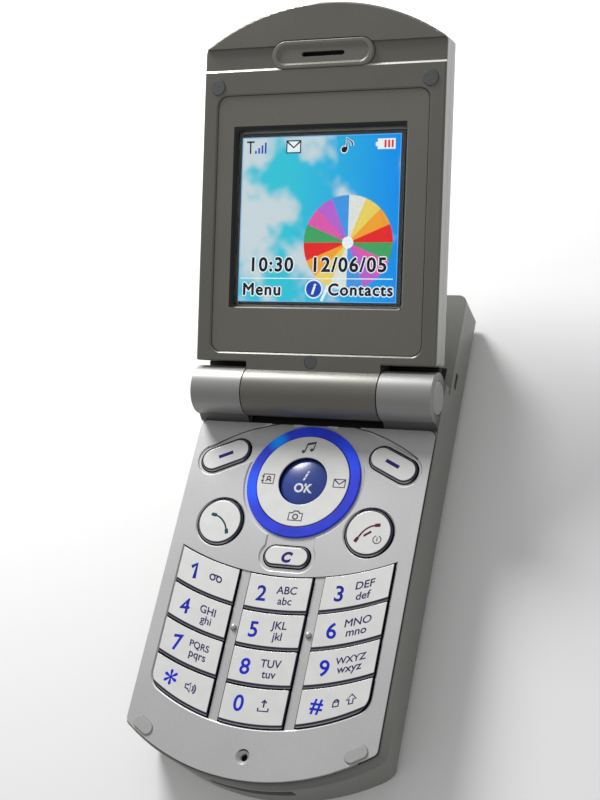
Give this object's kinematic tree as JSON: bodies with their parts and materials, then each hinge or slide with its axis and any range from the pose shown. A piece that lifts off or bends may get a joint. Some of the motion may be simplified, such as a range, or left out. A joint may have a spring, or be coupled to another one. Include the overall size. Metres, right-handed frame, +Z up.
{
  "type": "flip phone",
  "caption": "Folding mobile phone with a lid that turns on a barrel hinge, a number keypad, a round navigation key and a colour display in the lid.",
  "frame": {"origin": "middle of the flat back of the body, which rests on the surface, on the outer face of the battery pack", "axes": "+X across the phone to the right seen from the keypad, +Y from the tail towards the hinge and the head, +Z up out of the back"},
  "size_m": [0.0433, 0.1237, 0.046],
  "materials": {
    "case_grey": "metallic grey paint, satin",
    "plate_silver": "metallic silver paint, satin",
    "lid_silver": "metallic silver paint, satin",
    "lid_grey": "metallic dark grey paint, satin",
    "frame_grey": "metallic grey, semi-gloss",
    "key_white": "pearl white, semi-gloss",
    "key_blue": "translucent blue, gloss",
    "light_blue": "translucent blue light guide, lit",
    "rubber_grey": "matt",
    "silicone": "translucent, matt",
    "film": "amber film with plated domes",
    "board_green": "solder mask",
    "steel": "bright",
    "gold_metal": "plated",
    "black_plastic": "matt",
    "lens_clear": "clear, polished",
    "lens_dark": "smoked, polished",
    "display_glass": "display glass, lit"
  },
  "bodies": {
    "body": {"front_case": "case_grey", "rear_case": "case_grey", "face_plate": "plate_silver", "keypad_mat": "silicone", "dome_sheet": "film", "main_board": "board_green", "shield_cans": "steel", "nav_light_ring": "light_blue", "microphone": "gold_metal", "foot_pads": "rubber_grey", "body_screws": "steel", "hinge_cartridge": "steel", "hinge_pin": "steel", "hinge_caps": "case_grey", "antenna": "gold_metal", "loudspeaker": "black_plastic", "vibration_motor": "steel", "io_connector": "steel", "battery_contacts": "gold_metal"},
    "lid": {"lid_inner_case": "lid_grey", "lid_outer_case": "lid_silver", "display_frame": "frame_grey", "display_lens": "lens_clear", "display_module": "display_glass", "lid_board": "board_green", "sub_display": "display_glass", "sub_display_lens": "lens_dark", "camera_module": "black_plastic", "camera_lens": "steel", "earpiece_receiver": "black_plastic", "earpiece_grille": "lid_silver", "lid_bumpers": "rubber_grey", "lid_screws": "steel", "hinge_shaft": "steel", "hinge_flex": "film"},
    "key_1": {"key_1": "key_white"},
    "key_2": {"key_2": "key_white"},
    "key_3": {"key_3": "key_white"},
    "key_4": {"key_4": "key_white"},
    "key_5": {"key_5": "key_white"},
    "key_6": {"key_6": "key_white"},
    "key_7": {"key_7": "key_white"},
    "key_8": {"key_8": "key_white"},
    "key_9": {"key_9": "key_white"},
    "key_star": {"key_star": "key_white"},
    "key_0": {"key_0": "key_white"},
    "key_hash": {"key_hash": "key_white"},
    "soft_key_left": {"soft_key_left": "key_white"},
    "soft_key_right": {"soft_key_right": "key_white"},
    "call_key": {"call_key": "key_white"},
    "end_key": {"end_key": "key_white"},
    "clear_key": {"clear_key": "key_white"},
    "ok_key": {"ok_key": "key_blue"},
    "navigation_rocker": {"navigation_rocker": "silicone"},
    "navigation_key": {"navigation_key": "key_white"},
    "battery_pack": {"battery_pack": "case_grey"},
    "battery_latch": {"battery_latch": "case_grey"},
    "volume_rocker": {"volume_rocker": "lid_silver"},
    "vibration_weight": {"vibration_weight": "steel"}
  },
  "joints": [
    {"name": "lid_hinge", "type": "hinge", "parent": "body", "child": "lid", "pos_m": [0, 0.0211, 0.01485], "axis": [1, 0, 0], "range_deg": [0, 153]},
    {"name": "key_1_press", "type": "slide", "parent": "body", "child": "key_1", "axis": [0, 0, -1], "range_m": [0, 0.00035], "stiffness_N_per_m": 500},
    {"name": "key_2_press", "type": "slide", "parent": "body", "child": "key_2", "axis": [0, 0, -1], "range_m": [0, 0.00035], "stiffness_N_per_m": 500},
    {"name": "key_3_press", "type": "slide", "parent": "body", "child": "key_3", "axis": [0, 0, -1], "range_m": [0, 0.00035], "stiffness_N_per_m": 500},
    {"name": "key_4_press", "type": "slide", "parent": "body", "child": "key_4", "axis": [0, 0, -1], "range_m": [0, 0.00035], "stiffness_N_per_m": 500},
    {"name": "key_5_press", "type": "slide", "parent": "body", "child": "key_5", "axis": [0, 0, -1], "range_m": [0, 0.00035], "stiffness_N_per_m": 500},
    {"name": "key_6_press", "type": "slide", "parent": "body", "child": "key_6", "axis": [0, 0, -1], "range_m": [0, 0.00035], "stiffness_N_per_m": 500},
    {"name": "key_7_press", "type": "slide", "parent": "body", "child": "key_7", "axis": [0, 0, -1], "range_m": [0, 0.00035], "stiffness_N_per_m": 500},
    {"name": "key_8_press", "type": "slide", "parent": "body", "child": "key_8", "axis": [0, 0, -1], "range_m": [0, 0.00035], "stiffness_N_per_m": 500},
    {"name": "key_9_press", "type": "slide", "parent": "body", "child": "key_9", "axis": [0, 0, -1], "range_m": [0, 0.00035], "stiffness_N_per_m": 500},
    {"name": "key_star_press", "type": "slide", "parent": "body", "child": "key_star", "axis": [0, 0, -1], "range_m": [0, 0.00035], "stiffness_N_per_m": 500},
    {"name": "key_0_press", "type": "slide", "parent": "body", "child": "key_0", "axis": [0, 0, -1], "range_m": [0, 0.00035], "stiffness_N_per_m": 500},
    {"name": "key_hash_press", "type": "slide", "parent": "body", "child": "key_hash", "axis": [0, 0, -1], "range_m": [0, 0.00035], "stiffness_N_per_m": 500},
    {"name": "soft_key_left_press", "type": "slide", "parent": "body", "child": "soft_key_left", "axis": [0, 0, -1], "range_m": [0, 0.00035], "stiffness_N_per_m": 500},
    {"name": "soft_key_right_press", "type": "slide", "parent": "body", "child": "soft_key_right", "axis": [0, 0, -1], "range_m": [0, 0.00035], "stiffness_N_per_m": 500},
    {"name": "call_key_press", "type": "slide", "parent": "body", "child": "call_key", "axis": [0, 0, -1], "range_m": [0, 0.00035], "stiffness_N_per_m": 500},
    {"name": "end_key_press", "type": "slide", "parent": "body", "child": "end_key", "axis": [0, 0, -1], "range_m": [0, 0.00035], "stiffness_N_per_m": 500},
    {"name": "clear_key_press", "type": "slide", "parent": "body", "child": "clear_key", "axis": [0, 0, -1], "range_m": [0, 0.00035], "stiffness_N_per_m": 500},
    {"name": "ok_key_press", "type": "slide", "parent": "body", "child": "ok_key", "axis": [0, 0, -1], "range_m": [0, 0.00035], "stiffness_N_per_m": 500},
    {"name": "navigation_tilt_sideways", "type": "hinge", "parent": "body", "child": "navigation_rocker", "pos_m": [0, 0.00624, 0.00923], "axis": [0, 1, 0], "range_deg": [-1.2, 1.2], "stiffness_Nm_per_rad": 0.02},
    {"name": "navigation_tilt_lengthways", "type": "hinge", "parent": "navigation_rocker", "child": "navigation_key", "pos_m": [0, 0.00624, 0.00953], "axis": [1, 0, 0], "range_deg": [-1.2, 1.2], "stiffness_Nm_per_rad": 0.02},
    {"name": "battery_lift", "type": "hinge", "parent": "body", "child": "battery_pack", "pos_m": [0, -0.02915, 0.0016], "axis": [-1, 0, 0], "range_deg": [0, 12]},
    {"name": "battery_latch_slide", "type": "slide", "parent": "body", "child": "battery_latch", "axis": [0, 1, 0], "range_m": [0, 0.0012], "stiffness_N_per_m": 300},
    {"name": "volume_rock", "type": "hinge", "parent": "body", "child": "volume_rocker", "pos_m": [-0.0202, 0.0081, 0.005], "axis": [0, 0, 1], "range_deg": [-1.2, 1.2], "stiffness_Nm_per_rad": 0.01},
    {"name": "weight_spin", "type": "hinge", "parent": "body", "child": "vibration_weight", "pos_m": [0, -0.0349, 0.0038], "axis": [1, 0, 0], "continuous": true}
  ]
}
